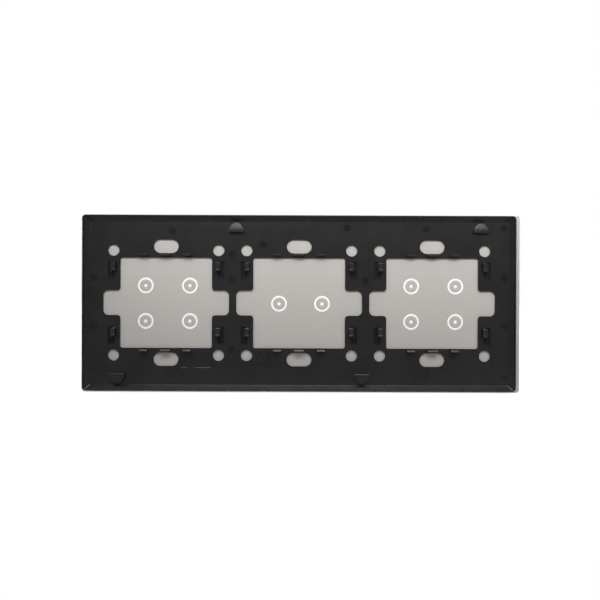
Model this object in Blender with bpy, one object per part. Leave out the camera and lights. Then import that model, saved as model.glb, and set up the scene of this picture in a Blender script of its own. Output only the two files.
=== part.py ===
"""Cover of a triple touch switch: a glass front with printed touch marks, bonded with foam tape to a
moulded carrier that snaps on to three wall brackets.

Metres, +Z up. The glass faces +Y, the wall side of the carrier faces -Y, and the origin is the
middle of the whole panel.
"""

import math

import bmesh
import bpy
from mathutils import Matrix, Vector

MM = 0.001

# Gangs: the switch positions side by side, with the touch marks that each one has
GANG_MARKS = (4, 2, 4)
GANG_PITCH = 71.0 * MM

# Glass front
GLASS_END_MARGIN = 46.4 * MM
GLASS_HEIGHT = 95.0 * MM
GLASS_THICKNESS = 4.0 * MM
GLASS_CORNER_RADIUS = 1.5 * MM
GLASS_EDGE_ROUND = 0.4 * MM

# Print on the back of the glass: an opaque coat, with white rings and dots let into it
COAT_THICKNESS = 0.2 * MM
COAT_EDGE_INSET = 0.5 * MM
RING_RADIUS = 3.73 * MM
RING_LINE_WIDTH = 0.9 * MM
DOT_RADIUS = 0.85 * MM
FOUR_MARK_SPACING_X = 23.6 * MM
FOUR_MARK_SPACING_Z = 19.0 * MM
TWO_MARK_SPACING_X = 23.0 * MM
PRINT_GAP = 0.05 * MM

# Bond lines between one layer and the next
LAYER_GAP = 0.02 * MM

# Carrier: a shallow tray, with its rim against the wall and its floor bonded to the glass
CARRIER_SIDE_INSET = 2.8 * MM
CARRIER_TOP_INSET = 1.05 * MM
CARRIER_CORNER_RADIUS = 2.0 * MM
CARRIER_EDGE_ROUND = 0.4 * MM
FLOOR_THICKNESS = 0.8 * MM
RIM_HEIGHT = 2.9 * MM
RIM_WIDTH = 1.75 * MM
RIM_DRAFT = 1.3 * MM
TRAY_CORNER_RADIUS = 1.2 * MM

# Where the carrier was bonded, measured from the middle of the glass
CARRIER_SHIFT_X = -0.75 * MM
CARRIER_SHIFT_Z = 0.3 * MM

# Screw slots over the wall-box screws, above and below each opening
SCREW_SPACING = 60.3 * MM
SLOT_LENGTH = 13.3 * MM
SLOT_HEIGHT = 7.25 * MM
SLOT_LAND = 2.4 * MM

# Openings for the switch modules, with an ear on each side
OPENING_WIDTH = 49.0 * MM
OPENING_CORNER_RADIUS = 1.2 * MM
EAR_HEIGHT = 13.3 * MM
EAR_BRIDGE = 3.8 * MM
EAR_CORNER_RADIUS = 2.7 * MM
EAR_ROOT_RADIUS = 1.6 * MM

# Round holes that clear the bracket's fixings
HOLE_RADIUS = 3.0 * MM
HOLE_SPACING = 56.0 * MM

# Snap hooks beside the openings, each over a slot through the floor
HOOK_EDGE_MARGIN = 2.1 * MM
HOOK_STEM = 1.1 * MM
HOOK_NOSE = 1.4 * MM
HOOK_NOSE_DEPTH = 1.1 * MM
HOOK_NOSE_LIP = 0.4 * MM
HOOK_HEIGHT = 2.5 * MM
HOOK_LENGTH = 4.7 * MM
HOOK_SLOT_WIDTH = 3.3 * MM
HOOK_SLOT_LENGTH = 9.0 * MM
HOOK_SLOT_CORNER_RADIUS = 0.4 * MM
HOOK_SLOT_SPACING = 34.8 * MM
HOOK_END_MARGIN = 0.3 * MM

# Locating tabs along the top and bottom edges of the openings
TAB_SETBACK = 0.6 * MM
TAB_THICKNESS = 1.1 * MM
TAB_HEIGHT = 2.6 * MM
TAB_CHAMFER = 0.7 * MM
TAB_SIDE_SPACING = 23.2 * MM
MIDDLE_TAB_WIDTH = 5.5 * MM
SIDE_TAB_WIDTH = 4.3 * MM

# Half-moon ramps near the rim, two along the top and two along the bottom
RAMP_WIDTH = 8.0 * MM
RAMP_LENGTH = 5.2 * MM
RAMP_HEIGHT = 2.0 * MM
RAMP_RIM_MARGIN = 0.75 * MM
RAMP_INNER_OFFSET = 33.5 * MM
RAMP_OUTER_OFFSET = 25.5 * MM

# Foam tape, let into the front of the floor
TAPE_THICKNESS = 0.2 * MM
TAPE_MARGIN = 1.5 * MM
TAPE_CORNER_RADIUS = 1.0 * MM
TAPE_CLEARANCE = 0.3 * MM

# Modelling values: how far a joined shape is sunk and a cutter overshoots, what counts as touching and
# as sharp, and how curves are divided
ROOT_DEPTH = 0.4 * MM
OVERSHOOT = 1.0 * MM
WELD_DISTANCE = 0.001 * MM
SHARP_ANGLE = math.radians(30)
CORNER_STEPS = 4
HOLE_STEPS = 24
RING_STEPS = 28
DOT_STEPS = 16
RAMP_STEPS = 10

# Sizes that follow from the ones above
GANGS = len(GANG_MARKS)
GANG_XS = [(index - (GANGS - 1) / 2) * GANG_PITCH for index in range(GANGS)]
GLASS_WIDTH = (GANGS - 1) * GANG_PITCH + 2 * GLASS_END_MARGIN
CARRIER_WIDTH = GLASS_WIDTH - 2 * CARRIER_SIDE_INSET
CARRIER_HEIGHT = GLASS_HEIGHT - 2 * CARRIER_TOP_INSET
FLOOR_INSET = RIM_WIDTH + RIM_DRAFT
TRAY_WIDTH = CARRIER_WIDTH - 2 * FLOOR_INSET
TRAY_HEIGHT = CARRIER_HEIGHT - 2 * FLOOR_INSET
OPENING_HEIGHT = SCREW_SPACING - SLOT_HEIGHT - 2 * SLOT_LAND
EAR_SPAN = GANG_PITCH - EAR_BRIDGE

# Planes through the panel, from the wall to the front of the glass
DEPTH = RIM_HEIGHT + FLOOR_THICKNESS + COAT_THICKNESS + GLASS_THICKNESS + 2 * LAYER_GAP
WALL_Y = -DEPTH / 2
FLOOR_Y = WALL_Y + RIM_HEIGHT
CARRIER_FRONT_Y = FLOOR_Y + FLOOR_THICKNESS
COAT_Y = CARRIER_FRONT_Y + LAYER_GAP
GLASS_Y = COAT_Y + COAT_THICKNESS + LAYER_GAP
FRONT_Y = GLASS_Y + GLASS_THICKNESS


# Outlines: lists of flat (u, v) points

def rounded(corners):
    """A closed outline through (u, v, radius) corners, with an arc at each."""
    outline = []
    for index, (u, v, radius) in enumerate(corners):
        corner = Vector((u, v))
        before = (Vector(corners[index - 1][:2]) - corner).normalized()
        after = (Vector(corners[(index + 1) % len(corners)][:2]) - corner).normalized()
        half_angle = before.angle(after) / 2
        middle = corner + (before + after).normalized() * radius / math.sin(half_angle)
        start = corner + before * radius / math.tan(half_angle) - middle
        turn = start.angle_signed(corner + after * radius / math.tan(half_angle) - middle)
        for step in range(CORNER_STEPS + 1):
            angle = -turn * step / CORNER_STEPS
            outline.append(middle + Matrix.Rotation(angle, 2) @ start)
    return outline


def rectangle(u, v, width, height, radius):
    """A rounded rectangle about (u, v)."""
    half_width, half_height = width / 2, height / 2
    return rounded([
        (u + half_width, v - half_height, radius),
        (u + half_width, v + half_height, radius),
        (u - half_width, v + half_height, radius),
        (u - half_width, v - half_height, radius),
    ])


def circle(u, v, radius, steps):
    """A regular outline about (u, v)."""
    angles = [math.tau * step / steps for step in range(steps)]
    return [Vector((u + radius * math.cos(angle), v + radius * math.sin(angle))) for angle in angles]


def opening_outline(x):
    """A module opening: a square with an ear on each side."""
    side, top = OPENING_WIDTH / 2, OPENING_HEIGHT / 2
    ear_end, ear_top = EAR_SPAN / 2, EAR_HEIGHT / 2
    quarter = [
        (side, top, OPENING_CORNER_RADIUS),
        (side, ear_top, EAR_ROOT_RADIUS),
        (ear_end, ear_top, EAR_CORNER_RADIUS),
    ]
    right = [(u, -v, radius) for u, v, radius in quarter] + quarter[::-1]
    left = [(-u, -v, radius) for u, v, radius in right]
    return rounded([(x + u, v, radius) for u, v, radius in right + left])


# Solids

def matrix_from_axes(u_axis, v_axis, origin):
    """The placing whose local X, Y and Z run along u_axis, v_axis and across both."""
    across = u_axis.cross(v_axis)
    turn = Matrix((u_axis, v_axis, across)).transposed()
    return Matrix.Translation(origin) @ turn.to_4x4()


def prism(outlines, depth, placing, edge_round=0.0):
    """A mesh of flat outlines extruded by depth, half each way along the placing's local Z. Outlines
    inside the first one are holes."""
    curve = bpy.data.curves.new("outline", "CURVE")
    curve.dimensions = "2D"
    curve.fill_mode = "BOTH"
    curve.extrude = depth / 2 - edge_round
    curve.bevel_depth = edge_round
    curve.bevel_resolution = 1
    curve.offset = -edge_round
    for outline in outlines:
        spline = curve.splines.new("POLY")
        spline.points.add(len(outline) - 1)
        for point, (u, v) in zip(spline.points, outline):
            point.co = (u, v, 0.0, 1.0)
        spline.use_cyclic_u = True
    guide = bpy.data.objects.new("outline", curve)
    bpy.context.scene.collection.objects.link(guide)
    graph = bpy.context.evaluated_depsgraph_get()
    mesh = bpy.data.meshes.new_from_object(guide.evaluated_get(graph))
    bpy.data.objects.remove(guide)
    bpy.data.curves.remove(curve)
    mesh.transform(placing)
    weld(mesh)
    return mesh


def weld(mesh):
    """Join the caps of an extruded outline to its sides, with the faces pointing out."""
    bm = bmesh.new()
    bm.from_mesh(mesh)
    bmesh.ops.remove_doubles(bm, verts=bm.verts, dist=WELD_DISTANCE)
    bmesh.ops.recalc_face_normals(bm, faces=bm.faces)
    bm.to_mesh(mesh)
    bm.free()


def slab(outlines, rear_y, front_y, edge_round=0.0):
    """A mesh of outlines drawn in X and Z, from rear_y to front_y."""
    middle = Vector((0.0, (rear_y + front_y) / 2, 0.0))
    placing = matrix_from_axes(Vector((1, 0, 0)), Vector((0, 0, 1)), middle)
    return prism(outlines, front_y - rear_y, placing, edge_round)


def joined(meshes):
    """One mesh that holds several."""
    bm = bmesh.new()
    for mesh in meshes:
        bm.from_mesh(mesh)
        bpy.data.meshes.remove(mesh)
    whole = bpy.data.meshes.new("joined")
    bm.to_mesh(whole)
    bm.free()
    return whole


# Scene objects

def new_material(name, color, roughness, metallic=0.0):
    """A Principled material."""
    material = bpy.data.materials.new(name)
    material.use_nodes = True
    shader = material.node_tree.nodes["Principled BSDF"]
    shader.inputs["Base Color"].default_value = (*color, 1.0)
    shader.inputs["Roughness"].default_value = roughness
    shader.inputs["Metallic"].default_value = metallic
    return material


def add_part(name, mesh, material, parent):
    """A named piece of the panel."""
    mesh.name = name
    mesh.materials.append(material)
    mesh.shade_smooth()
    mesh.set_sharp_from_angle(angle=SHARP_ANGLE)
    part = bpy.data.objects.new(name, mesh)
    part.parent = parent
    panel.objects.link(part)
    return part


def add_cutter(name, mesh, parent):
    """A helper that shapes a piece and is not one itself."""
    mesh.name = name
    cutter = bpy.data.objects.new(name, mesh)
    cutter.parent = parent
    cutter.hide_render = True
    cutter.display_type = "WIRE"
    cutters.objects.link(cutter)
    return cutter


def add_boolean(part, operation, other):
    """Cut a piece with a helper, or join the helper to it."""
    modifier = part.modifiers.new(other.name, "BOOLEAN")
    modifier.operation = operation
    modifier.object = other


def add_datum(name, location):
    """An empty that pieces are placed from."""
    datum = bpy.data.objects.new(name, None)
    datum.location = location
    panel.objects.link(datum)
    return datum


# Glass and the print on its back

def mark_places():
    """The name and the middle of each touch mark, gang by gang."""
    places = []
    for gang, (x, marks) in enumerate(zip(GANG_XS, GANG_MARKS), start=1):
        if marks == 4:
            rows, spacing_x = (1, -1), FOUR_MARK_SPACING_X
        else:
            rows, spacing_x = (0,), TWO_MARK_SPACING_X
        offsets = [(side, row) for row in rows for side in (-1, 1)]
        for number, (side, row) in enumerate(offsets, start=1):
            place = (x + side * spacing_x / 2, row * FOUR_MARK_SPACING_Z / 2)
            places.append((f"{gang}_{number}", place))
    return places


def build_glass(datum):
    """The tempered glass sheet with its ground edges."""
    outline = rectangle(0.0, 0.0, GLASS_WIDTH, GLASS_HEIGHT, GLASS_CORNER_RADIUS)
    mesh = slab([outline], GLASS_Y, FRONT_Y, GLASS_EDGE_ROUND)
    glass = new_material("clear_glass", (0.80, 0.84, 0.82), 0.05)
    add_part("glass_panel", mesh, glass, datum)


def build_print(datum):
    """The coat, and a ring, an island of coat and a dot at every touch mark."""
    coat = new_material("grey_coat", (0.45, 0.42, 0.40), 0.45)
    white = new_material("white_print", (0.95, 0.95, 0.95), 0.5)
    front_y = COAT_Y + COAT_THICKNESS
    ring_outer = RING_RADIUS + RING_LINE_WIDTH / 2
    ring_inner = RING_RADIUS - RING_LINE_WIDTH / 2

    width, height = GLASS_WIDTH - 2 * COAT_EDGE_INSET, GLASS_HEIGHT - 2 * COAT_EDGE_INSET
    sheet = [rectangle(0.0, 0.0, width, height, GLASS_CORNER_RADIUS)]
    for name, (x, z) in mark_places():
        sheet.append(circle(x, z, ring_outer + PRINT_GAP, RING_STEPS))
        ring = [circle(x, z, ring_outer, RING_STEPS), circle(x, z, ring_inner, RING_STEPS)]
        island = [
            circle(x, z, ring_inner - PRINT_GAP, RING_STEPS),
            circle(x, z, DOT_RADIUS + PRINT_GAP, DOT_STEPS),
        ]
        dot = [circle(x, z, DOT_RADIUS, DOT_STEPS)]
        add_part(f"touch_ring_{name}", slab(ring, COAT_Y, front_y), white, datum)
        add_part(f"coat_island_{name}", slab(island, COAT_Y, front_y), coat, datum)
        add_part(f"touch_dot_{name}", slab(dot, COAT_Y, front_y), white, datum)
    add_part("back_coat", slab(sheet, COAT_Y, front_y), coat, datum)


# Foam tape, in the carrier's own coordinates

def tape_boxes():
    """The name, low corner and high corner of each length of tape, in X and Z."""
    edge_x = CARRIER_WIDTH / 2 - TAPE_MARGIN
    edge_z = CARRIER_HEIGHT / 2 - TAPE_MARGIN
    strip_z = SCREW_SPACING / 2 + SLOT_HEIGHT / 2 + TAPE_MARGIN
    pad_low = EAR_HEIGHT / 2 + TAPE_MARGIN
    pad_high = HOLE_SPACING / 2 - HOLE_RADIUS - TAPE_MARGIN
    beside = OPENING_WIDTH / 2 + TAPE_MARGIN
    starts = [-edge_x] + [x + beside for x in GANG_XS]
    ends = [x - beside for x in GANG_XS] + [edge_x]

    boxes = [
        ("tape_strip_top", (-edge_x, strip_z), (edge_x, edge_z)),
        ("tape_strip_bottom", (-edge_x, -edge_z), (edge_x, -strip_z)),
    ]
    for number, (start, end) in enumerate(zip(starts, ends), start=1):
        boxes.append((f"tape_pad_{number}_upper", (start, pad_low), (end, pad_high)))
        boxes.append((f"tape_pad_{number}_lower", (start, -pad_high), (end, -pad_low)))
    return boxes


def tape_outline(low, high, grow):
    """The outline of a length of tape, grown all round."""
    middle = (Vector(low) + Vector(high)) / 2
    size = Vector(high) - Vector(low)
    radius = TAPE_CORNER_RADIUS + grow
    return rectangle(*middle, size.x + 2 * grow, size.y + 2 * grow, radius)


def build_tape(datum):
    """The double-sided foam tape between the carrier and the coat."""
    foam = new_material("black_foam", (0.02, 0.02, 0.02), 0.9)
    for name, low, high in tape_boxes():
        mesh = slab([tape_outline(low, high, 0.0)], CARRIER_FRONT_Y - TAPE_THICKNESS, CARRIER_FRONT_Y)
        add_part(name, mesh, foam, datum)


# Carrier, in its own coordinates

def hook_slot_x():
    """The inner edge of a hook's slot, from the middle of its gang."""
    return OPENING_WIDTH / 2 + HOOK_EDGE_MARGIN + HOOK_STEM


def carrier_openings():
    """Everything that goes right through the floor."""
    outlines = []
    for x in GANG_XS:
        outlines.append(opening_outline(x))
        for row in (-1, 1):
            z = row * SCREW_SPACING / 2
            outlines.append(rectangle(x, z, SLOT_LENGTH, SLOT_HEIGHT, SLOT_HEIGHT / 2 - WELD_DISTANCE))
            for side in (-1, 1):
                hole_x, hole_z = x + side * HOLE_SPACING / 2, row * HOLE_SPACING / 2
                outlines.append(circle(hole_x, hole_z, HOLE_RADIUS, HOLE_STEPS))
                slot_x = x + side * (hook_slot_x() + HOOK_SLOT_WIDTH / 2)
                slot_z = row * HOOK_SLOT_SPACING / 2
                size = (HOOK_SLOT_WIDTH, HOOK_SLOT_LENGTH)
                outlines.append(rectangle(slot_x, slot_z, *size, HOOK_SLOT_CORNER_RADIUS))
    front_y = CARRIER_FRONT_Y + OVERSHOOT
    return joined([slab([outline], FLOOR_Y - OVERSHOOT, front_y) for outline in outlines])


def carrier_tray():
    """The recess inside the rim, spread by the draft of the rim's inner wall."""
    outline = rectangle(0.0, 0.0, TRAY_WIDTH, TRAY_HEIGHT, TRAY_CORNER_RADIUS)
    mesh = slab([outline], WALL_Y - OVERSHOOT, FLOOR_Y)
    spread = 2 * RIM_DRAFT * (RIM_HEIGHT + OVERSHOOT) / RIM_HEIGHT
    for vertex in mesh.vertices:
        if vertex.co.y < WALL_Y:
            vertex.co.x *= 1 + spread / TRAY_WIDTH
            vertex.co.z *= 1 + spread / TRAY_HEIGHT
    return mesh


def tape_recesses():
    """The shallow seats that hold the tape in the front of the floor."""
    rear_y = CARRIER_FRONT_Y - TAPE_THICKNESS - LAYER_GAP
    front_y = CARRIER_FRONT_Y + OVERSHOOT
    seats = [tape_outline(low, high, TAPE_CLEARANCE) for _, low, high in tape_boxes()]
    return joined([slab([seat], rear_y, front_y) for seat in seats])


def hook(x, side, row):
    """A snap hook: a stem with a nose that points away from the opening."""
    inner = OPENING_WIDTH / 2 + HOOK_EDGE_MARGIN
    outer = inner + HOOK_STEM
    tip = outer + HOOK_NOSE
    under = HOOK_HEIGHT - HOOK_NOSE_DEPTH
    profile = [
        (inner, -ROOT_DEPTH),
        (outer, -ROOT_DEPTH),
        (outer, under),
        (tip, under),
        (tip, under + HOOK_NOSE_LIP),
        (outer, HOOK_HEIGHT),
        (inner, HOOK_HEIGHT),
    ]
    slot_top = (row * HOOK_SLOT_SPACING + HOOK_SLOT_LENGTH) / 2
    z = slot_top - HOOK_END_MARGIN - HOOK_LENGTH / 2
    placing = matrix_from_axes(Vector((side, 0, 0)), Vector((0, -1, 0)), Vector((x, FLOOR_Y, z)))
    return prism([profile], HOOK_LENGTH, placing)


def tab(x, row, width):
    """A locating tab, chamfered towards the opening."""
    inner = OPENING_HEIGHT / 2 + TAB_SETBACK
    outer = inner + TAB_THICKNESS
    profile = [
        (inner, -ROOT_DEPTH),
        (outer, -ROOT_DEPTH),
        (outer, TAB_HEIGHT),
        (inner + TAB_CHAMFER, TAB_HEIGHT),
        (inner, TAB_HEIGHT - TAB_CHAMFER),
    ]
    placing = matrix_from_axes(Vector((0, 0, row)), Vector((0, -1, 0)), Vector((x, FLOOR_Y, 0)))
    return prism([profile], width, placing)


def ramp(x, row):
    """A half-moon ramp that rises from its round end near the rim to its flat face."""
    flat_z = TRAY_HEIGHT / 2 - RAMP_RIM_MARGIN - RAMP_LENGTH
    outline = []
    for step in range(RAMP_STEPS + 1):
        angle = math.pi * step / RAMP_STEPS
        across, along = RAMP_WIDTH / 2 * math.cos(angle), RAMP_LENGTH * math.sin(angle)
        outline.append(Vector((x + across, row * (flat_z + along))))
    mesh = slab([outline], FLOOR_Y - RAMP_HEIGHT, FLOOR_Y + ROOT_DEPTH)
    for vertex in mesh.vertices:
        if vertex.co.y < FLOOR_Y:
            share = (abs(vertex.co.z) - flat_z) / RAMP_LENGTH
            vertex.co.y += share * (RAMP_HEIGHT + ROOT_DEPTH / 2)
    return mesh


def carrier_features():
    """The hooks, tabs and ramps that stand on the floor."""
    solids = []
    for x in GANG_XS:
        for row in (-1, 1):
            solids += [hook(x, side, row) for side in (-1, 1)]
            solids.append(tab(x, row, MIDDLE_TAB_WIDTH))
            solids += [tab(x + side * TAB_SIDE_SPACING / 2, row, SIDE_TAB_WIDTH) for side in (-1, 1)]
    middle_x = (GANG_XS[0] + GANG_XS[-1]) / 2
    for row in (-1, 1):
        solids.append(ramp(middle_x - row * RAMP_INNER_OFFSET, row))
        solids.append(ramp(row * (GANG_XS[-1] + RAMP_OUTER_OFFSET), row))
    return joined(solids)


def build_carrier(datum):
    """The moulded carrier: one block, recessed, opened and seated for the tape, with its features
    joined on."""
    outline = rectangle(0.0, 0.0, CARRIER_WIDTH, CARRIER_HEIGHT, CARRIER_CORNER_RADIUS)
    block = slab([outline], WALL_Y, CARRIER_FRONT_Y, CARRIER_EDGE_ROUND)
    black = new_material("black_moulding", (0.022, 0.022, 0.023), 0.42)
    carrier = add_part("rear_carrier", block, black, datum)
    add_boolean(carrier, "DIFFERENCE", add_cutter("tray_cutter", carrier_tray(), datum))
    add_boolean(carrier, "UNION", add_cutter("floor_features", carrier_features(), datum))
    add_boolean(carrier, "DIFFERENCE", add_cutter("opening_cutter", carrier_openings(), datum))
    add_boolean(carrier, "DIFFERENCE", add_cutter("tape_seat_cutter", tape_recesses(), datum))


for leftover in list(bpy.data.objects):
    bpy.data.objects.remove(leftover)

panel = bpy.data.collections.new("triple_touch_panel_cover")
cutters = bpy.data.collections.new("cutters")
bpy.context.scene.collection.children.link(panel)
bpy.context.scene.collection.children.link(cutters)

glass_datum = add_datum("glass_datum", (0.0, 0.0, 0.0))
carrier_datum = add_datum("carrier_datum", (CARRIER_SHIFT_X, 0.0, CARRIER_SHIFT_Z))
build_glass(glass_datum)
build_print(glass_datum)
build_tape(carrier_datum)
build_carrier(carrier_datum)
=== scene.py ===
import math

import bpy
from mathutils import Matrix, Vector


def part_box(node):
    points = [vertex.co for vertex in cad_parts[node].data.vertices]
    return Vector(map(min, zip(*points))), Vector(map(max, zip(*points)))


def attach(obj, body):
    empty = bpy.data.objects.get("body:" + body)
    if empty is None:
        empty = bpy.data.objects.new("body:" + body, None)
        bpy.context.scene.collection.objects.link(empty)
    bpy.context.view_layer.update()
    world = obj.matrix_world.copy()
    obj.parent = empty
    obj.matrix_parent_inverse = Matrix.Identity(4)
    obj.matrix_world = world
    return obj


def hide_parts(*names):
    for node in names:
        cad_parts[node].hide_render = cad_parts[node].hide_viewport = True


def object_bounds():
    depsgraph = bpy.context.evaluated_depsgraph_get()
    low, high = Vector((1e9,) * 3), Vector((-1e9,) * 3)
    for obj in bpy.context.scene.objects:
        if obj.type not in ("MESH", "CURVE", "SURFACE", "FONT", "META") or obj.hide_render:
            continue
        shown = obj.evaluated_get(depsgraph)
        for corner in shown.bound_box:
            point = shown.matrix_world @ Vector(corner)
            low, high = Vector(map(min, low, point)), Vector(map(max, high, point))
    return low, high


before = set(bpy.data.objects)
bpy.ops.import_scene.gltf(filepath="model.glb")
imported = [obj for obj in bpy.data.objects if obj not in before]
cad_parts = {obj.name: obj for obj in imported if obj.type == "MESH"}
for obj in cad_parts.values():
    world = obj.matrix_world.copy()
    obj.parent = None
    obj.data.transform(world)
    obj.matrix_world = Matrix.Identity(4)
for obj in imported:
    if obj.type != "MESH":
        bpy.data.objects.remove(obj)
cad_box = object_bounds()


# Glass front. One sheet of tempered glass, cut to size, with its edges ground matt and the sharp
# arrises taken off. It is the face of the panel, and everything else is bonded to its back.
MM = 0.001
GLASS_CORNER = 1.5 * MM
GLASS_ARRIS = 0.4 * MM
ARC_STEPS = 8
ARRIS_STEPS = 3
SMOOTH_ANGLE = math.radians(40)
GLASS_TINT = (0.94, 0.90, 0.86)
GLASS_TINT_LIGHT = (0.97, 0.94, 0.90)
GROUND_EDGE = (0.80, 0.73, 0.67)
GROUND_EDGE_DARK = (0.70, 0.63, 0.57)
GLASS_IOR = 1.52
GLASS_ROUGHNESS = 0.02
TINT_PATCHES = 60 * MM
EDGE_PATCHES = 0.5 * MM
EDGE_SHINE_PATCHES = 2 * MM
EDGE_SAND = 0.2 * MM
EDGE_RELIEF = 0.02 * MM
EDGE_ROUGHNESS = (0.30, 0.45)
EDGE_CLEARNESS = 0.45
PATTERN_LOW, PATTERN_HIGH = 0.3, 0.7
ALONG = 0.99
SQUARE_TO = 0.01


def take(piece):
    """Makes a piece the only selected object, and the active one."""
    bpy.ops.object.select_all(action="DESELECT")
    piece.select_set(True)
    bpy.context.view_layer.objects.active = piece


def name_new(name):
    """Names the primitive just added and moves its place into its mesh."""
    bpy.ops.object.transform_apply(location=True, rotation=True, scale=True)
    piece = bpy.context.object
    piece.name = name
    piece.data.name = name
    return piece


def add_block(name, low, high):
    """A block between two corners."""
    low, high = Vector(low), Vector(high)
    bpy.ops.object.select_all(action="DESELECT")
    bpy.ops.mesh.primitive_cube_add(size=1, location=(low + high) / 2, scale=high - low)
    return name_new(name)


def edit_nothing(piece, kind):
    """Clears a piece's selection, ready for edges or faces to be picked in code."""
    take(piece)
    bpy.ops.object.mode_set(mode="EDIT")
    bpy.ops.mesh.select_mode(type=kind)
    bpy.ops.mesh.select_all(action="DESELECT")
    bpy.ops.object.mode_set(mode="OBJECT")


def edit_edges(piece, wanted):
    """Goes into edit mode with the edges selected whose middle and direction are wanted."""
    edit_nothing(piece, "EDGE")
    points = piece.data.vertices
    for edge in piece.data.edges:
        start, end = (points[index].co for index in edge.vertices)
        edge.select = wanted((start + end) / 2, (end - start).normalized())
    bpy.ops.object.mode_set(mode="EDIT")


def edit_faces(piece, wanted):
    """Goes into edit mode with the faces selected whose middle and normal are wanted."""
    edit_nothing(piece, "FACE")
    for face in piece.data.polygons:
        face.select = wanted(face.center, face.normal)
    bpy.ops.object.mode_set(mode="EDIT")


def round_edges(piece, radius, steps, wanted):
    """Rounds the wanted edges. One step makes a chamfer."""
    edit_edges(piece, wanted)
    bpy.ops.mesh.bevel(offset=radius, segments=steps, affect="EDGES")
    bpy.ops.object.mode_set(mode="OBJECT")


def through(middle, direction):
    """True for an edge that runs through the panel's thickness."""
    return abs(direction.y) > ALONG


def across(middle, direction):
    """True for an edge that lies in the panel's plane."""
    return abs(direction.y) < SQUARE_TO


def apply_modifier(piece, kind, **settings):
    """Adds a modifier, sets it and applies it."""
    take(piece)
    modifier = piece.modifiers.new(kind, kind)
    for setting, value in settings.items():
        setattr(modifier, setting, value)
    bpy.ops.object.modifier_apply(modifier=modifier.name)


def start_finish(name):
    """A new material, its shader and the coordinates that its patterns read."""
    material = bpy.data.materials.new(name)
    material.use_nodes = True
    coordinates = material.node_tree.nodes.new("ShaderNodeTexCoord")
    return material, material.node_tree.nodes["Principled BSDF"], coordinates.outputs["Object"]


def grain(material, coordinates, size, detail=2.0):
    """A noise whose features are about size across."""
    noise = material.node_tree.nodes.new("ShaderNodeTexNoise")
    noise.inputs["Scale"].default_value = 1.0 / size
    noise.inputs["Detail"].default_value = detail
    material.node_tree.links.new(coordinates, noise.inputs["Vector"])
    return noise.outputs["Fac"]


def spread(material, pattern, low, high, target):
    """Drives a shader input from low to high over a pattern's middle values."""
    stretch = material.node_tree.nodes.new("ShaderNodeMapRange")
    stretch.inputs["From Min"].default_value = PATTERN_LOW
    stretch.inputs["From Max"].default_value = PATTERN_HIGH
    stretch.inputs["To Min"].default_value = low
    stretch.inputs["To Max"].default_value = high
    material.node_tree.links.new(pattern, stretch.inputs["Value"])
    material.node_tree.links.new(stretch.outputs["Result"], target)


def tint(material, pattern, first, second, target):
    """Drives a colour input between two colours over a pattern."""
    mix = material.node_tree.nodes.new("ShaderNodeMix")
    mix.data_type = "RGBA"
    mix.inputs["A"].default_value = (*first, 1.0)
    mix.inputs["B"].default_value = (*second, 1.0)
    spread(material, pattern, 0.0, 1.0, mix.inputs["Factor"])
    material.node_tree.links.new(mix.outputs["Result"], target)


def roughen(material, pattern, shader, height, strength=1.0):
    """Raises a pattern in the surface as fine relief."""
    bump = material.node_tree.nodes.new("ShaderNodeBump")
    bump.inputs["Distance"].default_value = height
    bump.inputs["Strength"].default_value = strength
    material.node_tree.links.new(pattern, bump.inputs["Height"])
    material.node_tree.links.new(bump.outputs["Normal"], shader.inputs["Normal"])


def clear_glass():
    """Polished glass with a faint warm tint, which lets the lamps reach the print behind it."""
    material, shader, coordinates = start_finish("tinted_clear_glass")
    patches = grain(material, coordinates, TINT_PATCHES)
    tint(material, patches, GLASS_TINT, GLASS_TINT_LIGHT, shader.inputs["Base Color"])
    shader.inputs["Roughness"].default_value = GLASS_ROUGHNESS
    shader.inputs["IOR"].default_value = GLASS_IOR
    shader.inputs["Transmission Weight"].default_value = 1.0
    nodes, links = material.node_tree.nodes, material.node_tree.links
    path = nodes.new("ShaderNodeLightPath")
    open_way = nodes.new("ShaderNodeBsdfTransparent")
    mix = nodes.new("ShaderNodeMixShader")
    links.new(path.outputs["Is Shadow Ray"], mix.inputs[0])
    links.new(shader.outputs["BSDF"], mix.inputs[1])
    links.new(open_way.outputs["BSDF"], mix.inputs[2])
    links.new(mix.outputs["Shader"], nodes["Material Output"].inputs["Surface"])
    return material


def ground_edge():
    """The matt ground edge of the glass, warm where the front's colour shines through it."""
    material, shader, coordinates = start_finish("ground_glass_edge")
    patches = grain(material, coordinates, EDGE_PATCHES)
    tint(material, patches, GROUND_EDGE_DARK, GROUND_EDGE, shader.inputs["Base Color"])
    shine = grain(material, coordinates, EDGE_SHINE_PATCHES)
    spread(material, shine, *EDGE_ROUGHNESS, shader.inputs["Roughness"])
    roughen(material, grain(material, coordinates, EDGE_SAND), shader, EDGE_RELIEF)
    shader.inputs["IOR"].default_value = GLASS_IOR
    shader.inputs["Transmission Weight"].default_value = EDGE_CLEARNESS
    return material


def paint(piece, *finishes):
    """Gives a piece its finishes, in place of any slots left by the cutting."""
    piece.data.materials.clear()
    for finish in finishes:
        piece.data.materials.append(finish)


def fit(piece, slot, *nodes):
    """Smooths a finished piece and lets it ride in place of its CAD nodes."""
    take(piece)
    bpy.ops.object.shade_smooth_by_angle(angle=SMOOTH_ANGLE)
    apply_modifier(piece, "WEIGHTED_NORMAL", keep_sharp=True)
    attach(piece, "root")
    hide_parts(*nodes)


glass = add_block("glass_front", *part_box("glass_panel"))
round_edges(glass, GLASS_CORNER, ARC_STEPS, through)
round_edges(glass, GLASS_ARRIS, ARRIS_STEPS, across)
paint(glass, clear_glass(), ground_edge())
for face in glass.data.polygons:
    face.material_index = int(abs(face.normal.y) < ALONG)
fit(glass, "clear_glass", "glass_panel")


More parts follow.
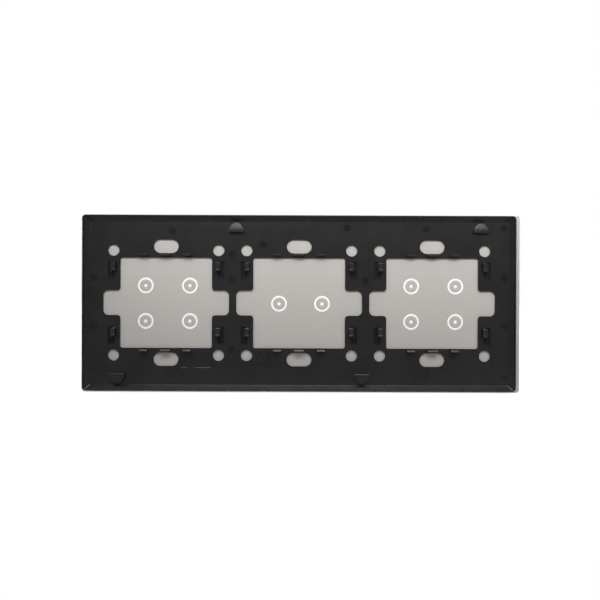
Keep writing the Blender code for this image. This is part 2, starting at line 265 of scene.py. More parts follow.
# Back coat. An opaque warm grey print over the whole back of the glass, baked on, with a satin
# surface and a fine grain. Round windows are left in it for the touch marks.
COAT_GREY = (0.441, 0.418, 0.398)
COAT_GREY_DARK = (0.429, 0.406, 0.386)
COAT_GRAIN = 0.35 * MM
COAT_SHINE_PATCHES = 6 * MM
COAT_ROUGHNESS = (0.44, 0.54)
COAT_RELIEF = 0.002 * MM
PRINT_GAP = 0.05 * MM
MARK_STEPS = 96
OVERSHOOT = 1.0 * MM


def add_disc(name, middle, radius, low_y, high_y, steps):
    """A round plate that faces along the panel's thickness."""
    bpy.ops.object.select_all(action="DESELECT")
    bpy.ops.mesh.primitive_cylinder_add(
        vertices=steps,
        radius=radius,
        depth=high_y - low_y,
        location=(middle.x, (low_y + high_y) / 2, middle.z),
        rotation=(math.pi / 2, 0, 0),
    )
    return name_new(name)


def join(pieces):
    """Joins several pieces into the first."""
    take(pieces[0])
    for piece in pieces:
        piece.select_set(True)
    bpy.ops.object.join()
    return pieces[0]


def combine(piece, operation, other):
    """Cuts a piece with another, or adds the other to it, and removes the other."""
    apply_modifier(piece, "BOOLEAN", solver="MANIFOLD", operation=operation, object=other)
    bpy.data.objects.remove(other)


def grey_coat():
    """The satin grey of the baked-on print."""
    material, shader, coordinates = start_finish("satin_grey_coat")
    fine = grain(material, coordinates, COAT_GRAIN, detail=4.0)
    tint(material, fine, COAT_GREY_DARK, COAT_GREY, shader.inputs["Base Color"])
    shine = grain(material, coordinates, COAT_SHINE_PATCHES)
    spread(material, shine, *COAT_ROUGHNESS, shader.inputs["Roughness"])
    roughen(material, fine, shader, COAT_RELIEF)
    return material


marks = [name.removeprefix("touch_ring_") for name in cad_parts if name.startswith("touch_ring_")]
coat_low, coat_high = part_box("back_coat")
coat = add_block("grey_back_coat", coat_low, coat_high)
round_edges(coat, GLASS_CORNER, ARC_STEPS, through)
windows = []
for mark in marks:
    ring_low, ring_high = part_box(f"touch_ring_{mark}")
    ring_radius = (ring_high.x - ring_low.x) / 2
    window = add_disc(
        "window", (ring_low + ring_high) / 2, ring_radius + PRINT_GAP,
        coat_low.y - OVERSHOOT, coat_high.y + OVERSHOOT, MARK_STEPS,
    )
    windows.append(window)
combine(coat, "DIFFERENCE", join(windows))
coat_finish = grey_coat()
paint(coat, coat_finish)
fit(coat, "grey_coat", "back_coat")


# Touch marks. White rings and dots screen printed in the coat's windows, with an island of the grey
# coat between ring and dot. The finger is sensed through the glass, so nothing here moves.
PRINT_ARRIS = 0.03 * MM
PRINT_ARRIS_STEPS = 2
PRINT_WHITE = (0.97, 0.94, 0.92)
PRINT_WHITE_DARK = (0.95, 0.92, 0.90)
PRINT_GRAIN = 0.25 * MM
PRINT_SHINE_PATCHES = 1.5 * MM
PRINT_ROUGHNESS = (0.40, 0.52)
PRINT_RELIEF = 0.006 * MM
DOT_STEPS = 64


def white_print():
    """The opaque white of the screen print."""
    material, shader, coordinates = start_finish("white_screen_print")
    fine = grain(material, coordinates, PRINT_GRAIN, detail=3.0)
    tint(material, fine, PRINT_WHITE_DARK, PRINT_WHITE, shader.inputs["Base Color"])
    shine = grain(material, coordinates, PRINT_SHINE_PATCHES)
    spread(material, shine, *PRINT_ROUGHNESS, shader.inputs["Roughness"])
    roughen(material, fine, shader, PRINT_RELIEF)
    return material


def open_disc(piece, line_width):
    """Opens a round plate to a ring."""
    edit_faces(piece, lambda middle, normal: abs(normal.y) > ALONG)
    bpy.ops.mesh.inset(thickness=line_width)
    bpy.ops.mesh.bridge_edge_loops()
    bpy.ops.object.mode_set(mode="OBJECT")


def add_annulus(name, outer_node, inner_node):
    """A flat ring as large as one node, open for another and the gap round it."""
    low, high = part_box(outer_node)
    inner_low, inner_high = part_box(inner_node)
    line_width = (high.x - low.x - inner_high.x + inner_low.x) / 2 - PRINT_GAP
    piece = add_disc(name, (low + high) / 2, (high.x - low.x) / 2, low.y, high.y, MARK_STEPS)
    open_disc(piece, line_width)
    round_edges(piece, PRINT_ARRIS, PRINT_ARRIS_STEPS, across)
    return piece


print_finish = white_print()
for mark in marks:
    ring = add_annulus(f"white_ring_{mark}", f"touch_ring_{mark}", f"coat_island_{mark}")
    paint(ring, print_finish)
    fit(ring, "white_print", f"touch_ring_{mark}")
    island = add_annulus(f"grey_island_{mark}", f"coat_island_{mark}", f"touch_dot_{mark}")
    paint(island, coat_finish)
    fit(island, "grey_coat", f"coat_island_{mark}")
    dot_low, dot_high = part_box(f"touch_dot_{mark}")
    dot_radius = (dot_high.x - dot_low.x) / 2
    dot_middle = (dot_low + dot_high) / 2
    dot = add_disc(f"white_dot_{mark}", dot_middle, dot_radius, dot_low.y, dot_high.y, DOT_STEPS)
    round_edges(dot, PRINT_ARRIS, PRINT_ARRIS_STEPS, across)
    paint(dot, print_finish)
    fit(dot, "white_print", f"touch_dot_{mark}")


# Foam tape. Lengths of black double-sided foam tape, die cut and pressed into shallow seats in the
# carrier's front. They bond the carrier to the coat, and show only behind the hook slots.
TAPE_CORNER = 1.0 * MM
TAPE_EDGE = 0.18 * MM
TAPE_EDGE_STEPS = 3
FOAM_CELL = 0.35 * MM
FOAM_RELIEF = 0.06 * MM
FOAM_ROUGHNESS = 0.92
FOAM_GLOSS = 0.2
FOAM_BLACK = (0.007, 0.007, 0.007)
FOAM_BLACK_LIGHT = (0.015, 0.015, 0.015)


def black_foam():
    """Fine open-celled foam."""
    material, shader, coordinates = start_finish("black_cell_foam")
    cells = material.node_tree.nodes.new("ShaderNodeTexVoronoi")
    cells.inputs["Scale"].default_value = 1.0 / FOAM_CELL
    material.node_tree.links.new(coordinates, cells.inputs["Vector"])
    tint(material, cells.outputs["Distance"], FOAM_BLACK, FOAM_BLACK_LIGHT, shader.inputs["Base Color"])
    roughen(material, cells.outputs["Distance"], shader, FOAM_RELIEF)
    shader.inputs["Roughness"].default_value = FOAM_ROUGHNESS
    shader.inputs["Specular IOR Level"].default_value = FOAM_GLOSS
    return material


foam_finish = black_foam()
for node in [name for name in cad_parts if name.startswith("tape_")]:
    tape = add_block(node.replace("tape", "foam"), *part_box(node))
    round_edges(tape, TAPE_CORNER, ARC_STEPS, through)
    round_edges(tape, TAPE_EDGE, TAPE_EDGE_STEPS, across)
    paint(tape, foam_finish)
    fit(tape, "black_foam", node)


# Rear carrier. One injection moulding in black plastic: a shallow tray whose rim meets the wall, with
# an eared opening, two screw slots and four clearance holes for each of the three switches.
GANGS = 3
GANG_PITCH = 71.0 * MM
CARRIER_CORNER = 2.0 * MM
FLOOR_THICKNESS = 0.8 * MM
RIM_WIDTH = 0.6 * MM
RIM_STEP = 0.8 * MM
RIM_DRAFT = 2.25 * MM
TRAY_CORNER = 1.2 * MM
TRAY_FILLET = 0.5 * MM
FILLET_STEPS = 8
OPENING_WIDTH = 49.0 * MM
OPENING_HEIGHT = 48.25 * MM
OPENING_CORNER = 1.2 * MM
EAR_HEIGHT = 13.3 * MM
EAR_REACH = 9.1 * MM
EAR_CORNER = 2.7 * MM
EAR_ROOT = 1.6 * MM
SLOT_SPACING = 60.3 * MM
SLOT_LENGTH = 13.3 * MM
SLOT_HEIGHT = 7.25 * MM
SLOT_END_SHARE = 0.499
HOLE_SPACING = 56.0 * MM
HOLE_RADIUS = 3.0 * MM
HOLE_STEPS = 64
MOULDED_EDGE = 0.18 * MM
EDGE_STEPS = 2
CUT_NEAR = 0.001 * MM

carrier_low, carrier_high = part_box("rear_carrier")
carrier_place = (carrier_low + carrier_high) / 2
carrier_place.y = 0.0
carrier_half = (carrier_high - carrier_low) / 2
wall_y, front_y = carrier_low.y, carrier_high.y
floor_y = front_y - FLOOR_THICKNESS


def add_centred(name, width, height, low_y, high_y):
    """A block about the carrier's middle."""
    return add_block(name, (-width / 2, low_y, -height / 2), (width / 2, high_y, height / 2))


def shift(piece, x=0.0, y=0.0, z=0.0):
    """Moves a piece within the carrier."""
    take(piece)
    bpy.ops.transform.translate(value=(x, y, z))
    bpy.ops.object.transform_apply(location=True, rotation=False, scale=False)


def mirror(piece, across_x=True, across_z=True):
    """Repeats a piece on the other side of the carrier's middle."""
    apply_modifier(piece, "MIRROR", use_axis=(across_x, False, across_z), use_mirror_merge=False)


def over_gangs(piece):
    """Repeats a piece of the middle switch at every switch."""
    shift(piece, x=-GANG_PITCH * (GANGS - 1) / 2)
    apply_modifier(
        piece, "ARRAY", count=GANGS, use_relative_offset=False,
        use_constant_offset=True, constant_offset_displace=(GANG_PITCH, 0, 0),
    )


carrier = add_centred("carrier_moulding", 2 * carrier_half.x, 2 * carrier_half.z, wall_y, front_y)
round_edges(carrier, CARRIER_CORNER, ARC_STEPS, through)

floor_inset = RIM_WIDTH + RIM_DRAFT
tray_width = 2 * (carrier_half.x - floor_inset)
tray_height = 2 * (carrier_half.z - floor_inset)
tray = add_centred("tray", tray_width, tray_height, wall_y + RIM_STEP, floor_y)
round_edges(tray, TRAY_CORNER, ARC_STEPS, through)
edit_faces(tray, lambda middle, normal: normal.y < -ALONG)
mouth = (1 + 2 * RIM_DRAFT / tray_width, 1, 1 + 2 * RIM_DRAFT / tray_height)
bpy.ops.transform.resize(value=mouth)
bpy.ops.mesh.extrude_region_move(TRANSFORM_OT_translate={"value": (0, -RIM_STEP - OVERSHOOT, 0)})
bpy.ops.object.mode_set(mode="OBJECT")
round_edges(tray, TRAY_FILLET, FILLET_STEPS, lambda middle, direction: middle.y > floor_y - CUT_NEAR)
combine(carrier, "DIFFERENCE", tray)

cut_low, cut_high = floor_y - OVERSHOOT, front_y + OVERSHOOT
opening = add_centred("opening", OPENING_WIDTH, OPENING_HEIGHT, cut_low, cut_high)
take(opening)
bpy.ops.object.mode_set(mode="EDIT")
for ear_edge in (-EAR_HEIGHT / 2, EAR_HEIGHT / 2):
    bpy.ops.mesh.select_all(action="SELECT")
    bpy.ops.mesh.bisect(plane_co=(0, 0, ear_edge), plane_no=(0, 0, 1), threshold=CUT_NEAR)
bpy.ops.object.mode_set(mode="OBJECT")
edit_faces(opening, lambda middle, normal: abs(normal.x) > ALONG and abs(middle.z) < EAR_HEIGHT / 2)
bpy.ops.mesh.extrude_region_shrink_fatten(TRANSFORM_OT_shrink_fatten={"value": EAR_REACH})
bpy.ops.object.mode_set(mode="OBJECT")
ear_tip = (OPENING_WIDTH + EAR_REACH) / 2


def at_corner(middle, direction):
    """True for the square corners of an opening."""
    return through(middle, direction) and abs(middle.z) > EAR_HEIGHT


def at_ear_tip(middle, direction):
    """True for the outer corners of an opening's ears."""
    return through(middle, direction) and abs(middle.x) > ear_tip


def at_ear_root(middle, direction):
    """True for the corners where an ear leaves the opening."""
    return through(middle, direction) and abs(middle.x) < ear_tip and abs(middle.z) < EAR_HEIGHT


round_edges(opening, OPENING_CORNER, ARC_STEPS, at_corner)
round_edges(opening, EAR_CORNER, ARC_STEPS, at_ear_tip)
round_edges(opening, EAR_ROOT, ARC_STEPS, at_ear_root)

slot = add_centred("screw_slot", SLOT_LENGTH, SLOT_HEIGHT, cut_low, cut_high)
round_edges(slot, SLOT_END_SHARE * SLOT_HEIGHT, 2 * ARC_STEPS, through)
shift(slot, z=SLOT_SPACING / 2)
mirror(slot, across_x=False)

hole_middle = Vector((HOLE_SPACING / 2, 0, HOLE_SPACING / 2))
hole = add_disc("clearance_hole", hole_middle, HOLE_RADIUS, cut_low, cut_high, HOLE_STEPS)
mirror(hole)


# Snap hooks. Two rows of springy hooks beside each opening, moulded in one with the carrier over slots
# that let the mould's core form the underside of each nose. They click behind the wall bracket.
HOOK_EDGE_MARGIN = 2.1 * MM
HOOK_STEM = 1.1 * MM
HOOK_NOSE = 1.4 * MM
HOOK_NOSE_DEPTH = 1.1 * MM
HOOK_NOSE_LIP = 0.4 * MM
HOOK_HEIGHT = 2.5 * MM
HOOK_LENGTH = 4.7 * MM
HOOK_SLOT_WIDTH = 3.3 * MM
HOOK_SLOT_LENGTH = 9.0 * MM
HOOK_SLOT_SPACING = 34.8 * MM
HOOK_SLOT_CORNER = 0.4 * MM
HOOK_END_MARGIN = 0.3 * MM
HOOK_STEP = 0.6 * MM
HOOK_STEP_LENGTH = 3.5 * MM
HOOK_CHAMFER = 0.4 * MM
ROOT_DEPTH = 0.4 * MM
FEATURE_EDGE = 0.15 * MM
NOSE_END_SHARE = 0.8
SLANTED = 0.5

hook_inner = OPENING_WIDTH / 2 + HOOK_EDGE_MARGIN
hook_outer = hook_inner + HOOK_STEM
hook_slot = add_centred("hook_slot", HOOK_SLOT_WIDTH, HOOK_SLOT_LENGTH, cut_low, cut_high)
round_edges(hook_slot, HOOK_SLOT_CORNER, ARC_STEPS, through)
shift(hook_slot, x=hook_outer + HOOK_SLOT_WIDTH / 2, z=HOOK_SLOT_SPACING / 2)
mirror(hook_slot)

cutter = join([opening, slot, hole, hook_slot])
over_gangs(cutter)
combine(carrier, "DIFFERENCE", cutter)


def soften(piece, width, steps=EDGE_STEPS):
    """Takes the sharpness off every edge of a moulded piece."""
    apply_modifier(
        piece, "BEVEL", width=width, segments=steps, limit_method="ANGLE", angle_limit=SMOOTH_ANGLE,
    )


soften(carrier, MOULDED_EDGE)
hook_top = HOOK_SLOT_SPACING / 2 + HOOK_SLOT_LENGTH / 2 - HOOK_END_MARGIN
nose_y = floor_y - HOOK_HEIGHT + HOOK_NOSE_DEPTH
hook_rear = floor_y - HOOK_HEIGHT


def at_nose_tip(middle, direction):
    """True for the outer rear edge of a hook's nose."""
    on_nose = middle.x > hook_outer + HOOK_NOSE / 2
    return on_nose and middle.y < (hook_rear + nose_y) / 2 and abs(direction.z) > ALONG


def at_hook_end(middle, direction):
    """True for the rear edges of a hook's upper end and of its step."""
    from_top = hook_top - middle.z
    at_an_end = min(abs(from_top), abs(from_top - HOOK_STEP_LENGTH)) < CUT_NEAR
    above_nose = middle.y < nose_y - CUT_NEAR
    return at_an_end and above_nose and abs(direction.x) > SLANTED and middle.y < rear_limit(middle)


def rear_limit(middle):
    """The depth that an edge of a hook's rear face stays short of, on the stem and out on the nose."""
    if middle.x >= hook_outer + NOSE_END_SHARE * HOOK_NOSE:
        return nose_y
    on_upper_end = middle.z > hook_top - CUT_NEAR
    return hook_rear + HOOK_STEP + (CUT_NEAR if on_upper_end else -CUT_NEAR)


hook = add_block(
    "snap_hook",
    (hook_inner, hook_rear, hook_top - HOOK_LENGTH),
    (hook_outer, floor_y + ROOT_DEPTH, hook_top),
)
take(hook)
bpy.ops.object.mode_set(mode="EDIT")
bpy.ops.mesh.select_all(action="SELECT")
bpy.ops.mesh.bisect(plane_co=(0, nose_y, 0), plane_no=(0, 1, 0), threshold=CUT_NEAR)
bpy.ops.object.mode_set(mode="OBJECT")
edit_faces(hook, lambda middle, normal: normal.x > ALONG and middle.y < nose_y)
bpy.ops.mesh.extrude_region_move(TRANSFORM_OT_translate={"value": (HOOK_NOSE, 0, 0)})
bpy.ops.object.mode_set(mode="OBJECT")
edit_edges(hook, at_nose_tip)
bpy.ops.transform.translate(value=(0, HOOK_NOSE_DEPTH - HOOK_NOSE_LIP, 0))
bpy.ops.object.mode_set(mode="OBJECT")
step_tool = add_block(
    "hook_step",
    (hook_inner - OVERSHOOT, hook_rear - OVERSHOOT, hook_top - HOOK_STEP_LENGTH),
    (hook_outer + HOOK_NOSE + OVERSHOOT, hook_rear + HOOK_STEP, hook_top + OVERSHOOT),
)
combine(hook, "DIFFERENCE", step_tool)
round_edges(hook, HOOK_CHAMFER, 1, at_hook_end)
soften(hook, FEATURE_EDGE)
mirror(hook, across_z=False)
lower_hook = hook.copy()
lower_hook.data = hook.data.copy()
bpy.context.scene.collection.objects.link(lower_hook)
shift(lower_hook, z=-HOOK_SLOT_SPACING)
hooks = join([hook, lower_hook])
over_gangs(hooks)


# Locating tabs. Three short walls along the top and bottom edge of each opening, chamfered towards it,
# moulded in one with the carrier. They centre the switch module as the cover is pushed on.
TAB_SETBACK = 0.6 * MM
TAB_THICKNESS = 1.1 * MM
TAB_HEIGHT = 2.6 * MM
TAB_CHAMFER = 0.7 * MM
TAB_SPACING = 11.6 * MM
MIDDLE_TAB_WIDTH = 5.5 * MM
SIDE_TAB_WIDTH = 4.3 * MM
tab_inner = OPENING_HEIGHT / 2 + TAB_SETBACK
tab_y = floor_y - TAB_HEIGHT


def add_tab(name, width):
    """A tab above the middle of an opening."""
    tab = add_block(
        name,
        (-width / 2, tab_y, tab_inner),
        (width / 2, floor_y + ROOT_DEPTH, tab_inner + TAB_THICKNESS),
    )
    round_edges(tab, TAB_CHAMFER, 1, at_tab_lead)
    soften(tab, FEATURE_EDGE)
    return tab


def at_tab_lead(middle, direction):
    """True for the edge that meets the switch module first."""
    over_floor = middle.y < floor_y
    return over_floor and abs(direction.x) > ALONG and middle.z < tab_inner + TAB_THICKNESS / 2


middle_tab = add_tab("middle_tab", MIDDLE_TAB_WIDTH)
mirror(middle_tab, across_x=False)
side_tab = add_tab("side_tab", SIDE_TAB_WIDTH)
shift(side_tab, x=TAB_SPACING)
mirror(side_tab)
tabs = join([middle_tab, side_tab])
over_gangs(tabs)


# Half-moon ramps. Four low half-moons beside the rim, crowned on top and chamfered along the straight
# side, moulded in one with the carrier. They take a screwdriver's tip as the cover is prised off.
RAMP_WIDTH = 8.0 * MM
RAMP_LENGTH = 5.2 * MM
RAMP_HEIGHT = 2.0 * MM
RAMP_CROWN = 26.0 * MM
CROWN_STEPS = 128
RAMP_CHAMFER = 0.6 * MM
RAMP_CHAMFER_SLOPE = 1.0
RAMP_EDGE = 0.25 * MM
RAMP_EDGE_STEPS = 3
RAMP_RIM_MARGIN = 0.95 * MM
RAMP_PLACES = (-33.5 * MM, 96.5 * MM)
RAMP_STEPS = 48
ramp_z = tray_height / 2 - RAMP_RIM_MARGIN - RAMP_LENGTH
ramp_y = floor_y - RAMP_HEIGHT
ramp_stretch = (1, 1, 2 * RAMP_LENGTH / RAMP_WIDTH)
chamfer_outward = Vector((0, -1, -RAMP_CHAMFER_SLOPE)).normalized()


def cut_off(piece, place, outward):
    """Cuts a piece off flat at a plane."""
    take(piece)
    bpy.ops.object.mode_set(mode="EDIT")
    bpy.ops.mesh.select_all(action="SELECT")
    bpy.ops.mesh.bisect(
        plane_co=place, plane_no=outward, clear_outer=True, use_fill=True, threshold=CUT_NEAR,
    )
    bpy.ops.mesh.select_all(action="SELECT")
    bpy.ops.mesh.normals_make_consistent(inside=False)
    bpy.ops.object.mode_set(mode="OBJECT")


ramps = []
for ramp_x in RAMP_PLACES:
    ramp_middle = Vector((ramp_x, 0, ramp_z))
    ramp = add_disc("ramp", ramp_middle, RAMP_WIDTH / 2, ramp_y, floor_y + ROOT_DEPTH, RAMP_STEPS)
    take(ramp)
    bpy.ops.object.mode_set(mode="EDIT")
    bpy.ops.mesh.select_all(action="SELECT")
    bpy.ops.transform.resize(value=ramp_stretch, center_override=ramp_middle)
    bpy.ops.object.mode_set(mode="OBJECT")
    cut_off(ramp, (ramp_x, floor_y, ramp_z), (0, 0, -1))
    bpy.ops.object.select_all(action="DESELECT")
    bpy.ops.mesh.primitive_uv_sphere_add(
        segments=CROWN_STEPS,
        ring_count=CROWN_STEPS // 2,
        radius=RAMP_CROWN,
        location=(ramp_x, ramp_y + RAMP_CROWN, ramp_z),
    )
    combine(ramp, "INTERSECT", name_new("crown"))
    cut_off(ramp, (ramp_x, ramp_y + RAMP_CHAMFER, ramp_z), chamfer_outward)
    soften(ramp, RAMP_EDGE, RAMP_EDGE_STEPS)
    ramps.append(ramp)
    turned = ramp.copy()
    turned.data = ramp.data.copy()
    turned.data.transform(Matrix.Rotation(math.pi, 4, "Y"))
    bpy.context.scene.collection.objects.link(turned)
    ramps.append(turned)
combine(carrier, "UNION", join([hooks, tabs, *ramps]))


# Mould marks. Round ejector pins sunk a little into the floor, fainter pins and one larger insert that
# left only their outline, and a bare plate recess with a sloping lower side, all left by the mould.
PIN_RADIUS = 1.9 * MM
PIN_DEPTH = 0.20 * MM
WITNESS_WIDTH = 0.4 * MM
PLATE_DEPTH = 0.35 * MM
INSERT_PLACE = (-19.0, -29.6)
INSERT_RADIUS = 3.7 * MM
PLATE_SIZE = (16.0 * MM, 7.0 * MM)
PLATE_SLOPE = 1.0
PLATE_PLACE = (-54.8 * MM, -30.9 * MM)
PIN_PLACES = [
    (-109.3, 13.2), (-109.3, -12.8), (109.3, 13.8), (109.3, -11.8), (109.3, 40.4), (109.3, -39.6),
    (-67.6, 38.3), (67.7, 39.7), (25.5, 40.1), (-35.8, 25.9), (-35.8, 12.1), (-35.8, -24.7),
    (35.2, 11.9), (-19.3, 30.9),
]
FAINT_PIN_PLACES = [(-68.3, -37.7), (67.1, -37.5), (24.5, -39.8), (-25.1, -39.6)]


def add_press(places, radius, depth):
    """Round marks to be pressed into the floor."""
    marks_cut = []
    for x, z in places:
        middle = Vector((x * MM, 0, z * MM))
        marks_cut.append(add_disc("press", middle, radius, floor_y - OVERSHOOT, floor_y + depth, HOLE_STEPS))
    return marks_cut


pins = add_press(PIN_PLACES, PIN_RADIUS, PIN_DEPTH)
witness_lines = add_press(FAINT_PIN_PLACES, PIN_RADIUS, PIN_DEPTH)
witness_lines += add_press([INSERT_PLACE], INSERT_RADIUS, PIN_DEPTH)
for line in witness_lines:
    open_disc(line, WITNESS_WIDTH)
pins += witness_lines
plate = add_centred("plate", *PLATE_SIZE, floor_y - OVERSHOOT, floor_y + PLATE_DEPTH)
edit_edges(plate, lambda middle, direction: abs(direction.x) > ALONG and middle.y < floor_y and middle.z < 0)
bpy.ops.transform.translate(value=(0, 0, -PLATE_SLOPE * (PLATE_DEPTH + OVERSHOOT)))
bpy.ops.object.mode_set(mode="OBJECT")
shift(plate, x=PLATE_PLACE[0], z=PLATE_PLACE[1])
pins.append(plate)
combine(carrier, "DIFFERENCE", join(pins))


# Carrier finish. The black plastic as the mould left it: finely grained on floor and rim, smoother in the
# pressed marks and cut walls, and shinier on the hooks and lower tabs. The pressed marks, the cut walls, the
# hooks and the lower tabs are also given a darker black than the floor, which is painted shade.
GRAINED_BLACK = (0.0142, 0.0142, 0.0147)
GRAINED_BLACK_LIGHT = (0.0190, 0.0187, 0.0187)
GRAINED_ROUGHNESS = (0.17, 0.24)
GRAINED_RELIEF = 0.006 * MM
GRAINED_GLOSS = 0.22
# A darker black for the pressed marks and cut walls: painted shade.
PRESSED_SHADE_BLACK = (0.0085, 0.0085, 0.0088)
PRESSED_SHADE_BLACK_LIGHT = (0.0110, 0.0109, 0.0110)
PRESSED_ROUGHNESS = (0.12, 0.18)
PRESSED_RELIEF = 0.001 * MM
PRESSED_GLOSS = 0.25
# A darker black for the hooks and lower tabs: painted shade.
RAISED_SHADE_BLACK = (0.0090, 0.0090, 0.0093)
RAISED_SHADE_BLACK_LIGHT = (0.0120, 0.0118, 0.0118)
RAISED_ROUGHNESS = (0.20, 0.26)
RAISED_RELIEF = 0.002 * MM
RAISED_GLOSS = 0.5
BLACK_PATCHES = 14 * MM
BLACK_SHINE_PATCHES = 9 * MM
MOULD_GRAIN = 0.25 * MM
UPRIGHT = 0.5


def black_moulding(name, dark, light, roughness, relief, gloss):
    """Black plastic, as rough as the mould that shaped it."""
    material, shader, coordinates = start_finish(name)
    patches = grain(material, coordinates, BLACK_PATCHES, detail=3.0)
    tint(material, patches, dark, light, shader.inputs["Base Color"])
    shine = grain(material, coordinates, BLACK_SHINE_PATCHES, detail=4.0)
    spread(material, shine, *roughness, shader.inputs["Roughness"])
    roughen(material, grain(material, coordinates, MOULD_GRAIN, detail=3.0), shader, relief)
    shader.inputs["Specular IOR Level"].default_value = gloss
    return material


grained = black_moulding(
    "black_grained_floor", GRAINED_BLACK, GRAINED_BLACK_LIGHT,
    GRAINED_ROUGHNESS, GRAINED_RELIEF, GRAINED_GLOSS,
)
# Smoother black, its darker colour painted shade in the pressed marks and cut walls.
pressed_shaded = black_moulding(
    "black_pressed_marks_painted_shade", PRESSED_SHADE_BLACK, PRESSED_SHADE_BLACK_LIGHT,
    PRESSED_ROUGHNESS, PRESSED_RELIEF, PRESSED_GLOSS,
)
# Glossier black, its darker colour painted shade on the hooks and lower tabs.
raised_shaded = black_moulding(
    "black_glossy_features_painted_shade", RAISED_SHADE_BLACK, RAISED_SHADE_BLACK_LIGHT,
    RAISED_ROUGHNESS, RAISED_RELIEF, RAISED_GLOSS,
)
paint(carrier, grained, pressed_shaded, raised_shaded)
for face in carrier.data.polygons:
    over_floor = face.center.y < floor_y - CUT_NEAR
    within_rim = abs(face.center.x) < tray_width / 2 - TRAY_FILLET
    # The band over the floor from the lower ramps up to the openings' tops takes in the hooks and lower
    # tabs; it gets the glossier finish, whose darker black is painted shade.
    shade_painted_band = within_rim and OVERSHOOT - ramp_z < face.center.z < OPENING_HEIGHT / 2
    # Cut walls and the sunk floors of marks take the smoother finish, whose darker black is painted shade.
    cut = abs(face.normal.y) < UPRIGHT and face.center.y > floor_y
    sunk = face.normal.y < -ALONG and abs(face.center.y - floor_y - PIN_DEPTH) < CUT_NEAR
    if over_floor and shade_painted_band:
        face.material_index = 2
    elif cut or sunk:
        face.material_index = 1
    else:
        face.material_index = 0
shift(carrier, x=carrier_place.x, z=carrier_place.z)
fit(carrier, "black_moulding", "rear_carrier")


# Floor. A plain white table top under the panel, bright enough to the camera to run into the white
# background, with the panel's shadow left on it.
FLOOR_SIZE = 8.0
FLOOR_WHITE = (0.72, 0.72, 0.72)
FLOOR_ROUGHNESS = 0.9
FLOOR_GLOW = 0.85
GLOW_NEAR = 0.15
GLOW_FAR = 0.60
GLOW_IN_PLASTIC = 0.2
GLOW_IN_GLASS = 0.72
PANEL_BLEND = 0.02


def calculate(nodes, links, operation, first, second):
    """One step of arithmetic between two node outputs."""
    step = nodes.new("ShaderNodeMath")
    step.operation = operation
    links.new(first, step.inputs[0])
    links.new(second, step.inputs[1])
    return step.outputs["Value"]


def blend_range(nodes, links, value, start, end, low, high=1.0):
    """Rises from low to high as a value goes from start to end."""
    rise = nodes.new("ShaderNodeMapRange")
    rise.inputs["From Min"].default_value = start
    rise.inputs["From Max"].default_value = end
    rise.inputs["To Min"].default_value = low
    rise.inputs["To Max"].default_value = high
    links.new(value, rise.inputs["Value"])
    return rise.outputs["Result"]


def seen_white(nodes, links, glossy_share):
    """How far a ray sees plain white: fully to the camera and through glass, by a share in a gloss."""
    path = nodes.new("ShaderNodeLightPath")
    mirrored = calculate(nodes, links, "MULTIPLY", path.outputs["Is Glossy Ray"], glossy_share)
    to_camera, in_glass = path.outputs["Is Camera Ray"], path.outputs["Is Transmission Ray"]
    direct = calculate(nodes, links, "MAXIMUM", to_camera, in_glass)
    return calculate(nodes, links, "MAXIMUM", direct, mirrored)


def white_floor():
    """Matt white that also glows to the camera, to glass and to shiny surfaces, so it ends in white."""
    material = bpy.data.materials.new("white_table")
    material.use_nodes = True
    nodes, links = material.node_tree.nodes, material.node_tree.links
    shader = nodes["Principled BSDF"]
    shader.inputs["Base Color"].default_value = (*FLOOR_WHITE, 1.0)
    shader.inputs["Roughness"].default_value = FLOOR_ROUGHNESS
    shader.inputs["Specular IOR Level"].default_value = 0.0
    shader.inputs["Emission Color"].default_value = (1.0, 1.0, 1.0, 1.0)
    coordinates = nodes.new("ShaderNodeTexCoord").outputs["Object"]
    distance = nodes.new("ShaderNodeVectorMath")
    distance.operation = "LENGTH"
    links.new(coordinates, distance.inputs[0])
    parts = nodes.new("ShaderNodeSeparateXYZ")
    links.new(coordinates, parts.inputs["Vector"])
    rise = blend_range(nodes, links, distance.outputs["Value"], GLOW_NEAR, GLOW_FAR, FLOOR_GLOW)
    y = parts.outputs["Y"]
    side = blend_range(nodes, links, y, -PANEL_BLEND, PANEL_BLEND, GLOW_IN_PLASTIC, GLOW_IN_GLASS)
    glow = calculate(nodes, links, "MULTIPLY", seen_white(nodes, links, side), rise)
    links.new(glow, shader.inputs["Emission Strength"])
    return material


bpy.ops.object.select_all(action="DESELECT")
bpy.ops.mesh.primitive_plane_add(size=FLOOR_SIZE, location=(0, 0, cad_box[0].z))
floor = bpy.context.object
floor.name = "white_table"
floor.data.materials.append(white_floor())


# Studio. A long key lamp above the panel's back, a narrow lamp overhead and a large lamp on the glass
# side, each with a grid, in an even white room that the camera sees as a plain white background.
ROOM_LIGHT = 0.32
ROOM_BLEND = 0.2
KEY_POWER = 0.164
KEY_PLACE = (0.06, -0.10, 0.10)
KEY_SIZE = (0.40, 0.06)
KEY_SPREAD = math.radians(90)
AIM_HEIGHT = 0.022
OVER_POWER = 0.021
OVER_SPREAD = math.radians(50)
OVER_PLACE = (0.02, -0.031, 0.19)
OVER_SIZE = (0.45, 0.026)
FRONT_POWER = 1.2
FRONT_SPREAD = math.radians(150)
FRONT_PLACE = (0.15, 0.55, 0.45)
FRONT_SIZE = (0.6, 0.4)


def add_lamp(name, place, size, power, spread_angle):
    """A soft rectangular lamp with a grid, aimed at the panel."""
    light = bpy.data.lights.new(name, "AREA")
    light.shape = "RECTANGLE"
    light.size, light.size_y = size
    light.energy = power
    light.spread = spread_angle
    lamp = bpy.data.objects.new(name, light)
    lamp.location = place
    lamp.rotation_mode = "QUATERNION"
    aim = Vector((place[0], 0, AIM_HEIGHT)) - Vector(place)
    lamp.rotation_quaternion = aim.to_track_quat("-Z", "Y")
    lamp.visible_camera = False
    bpy.context.scene.collection.objects.link(lamp)


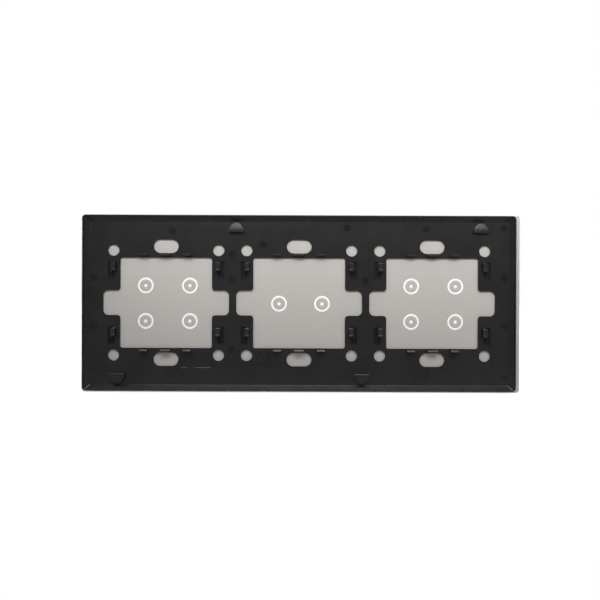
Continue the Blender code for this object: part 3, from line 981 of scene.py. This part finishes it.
def white_room():
    """The even light of a white room, plain white to the camera, to glass and to shiny surfaces."""
    world = bpy.data.worlds.new("white_room")
    world.use_nodes = True
    nodes, links = world.node_tree.nodes, world.node_tree.links
    room = nodes["Background"]
    room.inputs["Strength"].default_value = ROOM_LIGHT
    backdrop = nodes.new("ShaderNodeBackground")
    backdrop.inputs["Color"].default_value = (1.0, 1.0, 1.0, 1.0)
    room.inputs["Color"].default_value = (1.0, 1.0, 1.0, 1.0)
    parts = nodes.new("ShaderNodeSeparateXYZ")
    links.new(nodes.new("ShaderNodeTexCoord").outputs["Generated"], parts.inputs["Vector"])
    behind = blend_range(nodes, links, parts.outputs["Y"], -ROOM_BLEND, ROOM_BLEND, 0.0)
    mix = nodes.new("ShaderNodeMixShader")
    links.new(seen_white(nodes, links, behind), mix.inputs[0])
    links.new(room.outputs["Background"], mix.inputs[1])
    links.new(backdrop.outputs["Background"], mix.inputs[2])
    links.new(mix.outputs["Shader"], nodes["World Output"].inputs["Surface"])
    return world


add_lamp("key_lamp", KEY_PLACE, KEY_SIZE, KEY_POWER, KEY_SPREAD)
add_lamp("overhead_lamp", OVER_PLACE, OVER_SIZE, OVER_POWER, OVER_SPREAD)
add_lamp("front_lamp", FRONT_PLACE, FRONT_SIZE, FRONT_POWER, FRONT_SPREAD)
bpy.context.scene.world = white_room()
bpy.context.scene.view_settings.view_transform = "Standard"


# Camera. It looks squarely at the wall side of the panel from a little over a quarter of a metre,
# turned by the slight tilt at which the panel stood.
CAMERA_DISTANCE = 275.0 * MM
VIEW_WIDTH = 320.0 * MM
SENSOR_WIDTH = 36.0
CAMERA_X = -0.28 * MM
CAMERA_Z = 2.0 * MM
CAMERA_ROLL = math.radians(0.22)
camera_data = bpy.data.cameras.new("camera")
camera_data.sensor_width = SENSOR_WIDTH
camera_data.lens = SENSOR_WIDTH * CAMERA_DISTANCE / VIEW_WIDTH
camera = bpy.data.objects.new("camera", camera_data)
camera.location = (CAMERA_X, floor_y - CAMERA_DISTANCE, CAMERA_Z)
upright = Matrix.Rotation(math.pi / 2, 4, "X")
camera.rotation_euler = (upright @ Matrix.Rotation(CAMERA_ROLL, 4, "Z")).to_euler()
bpy.context.scene.collection.objects.link(camera)
bpy.context.scene.camera = camera
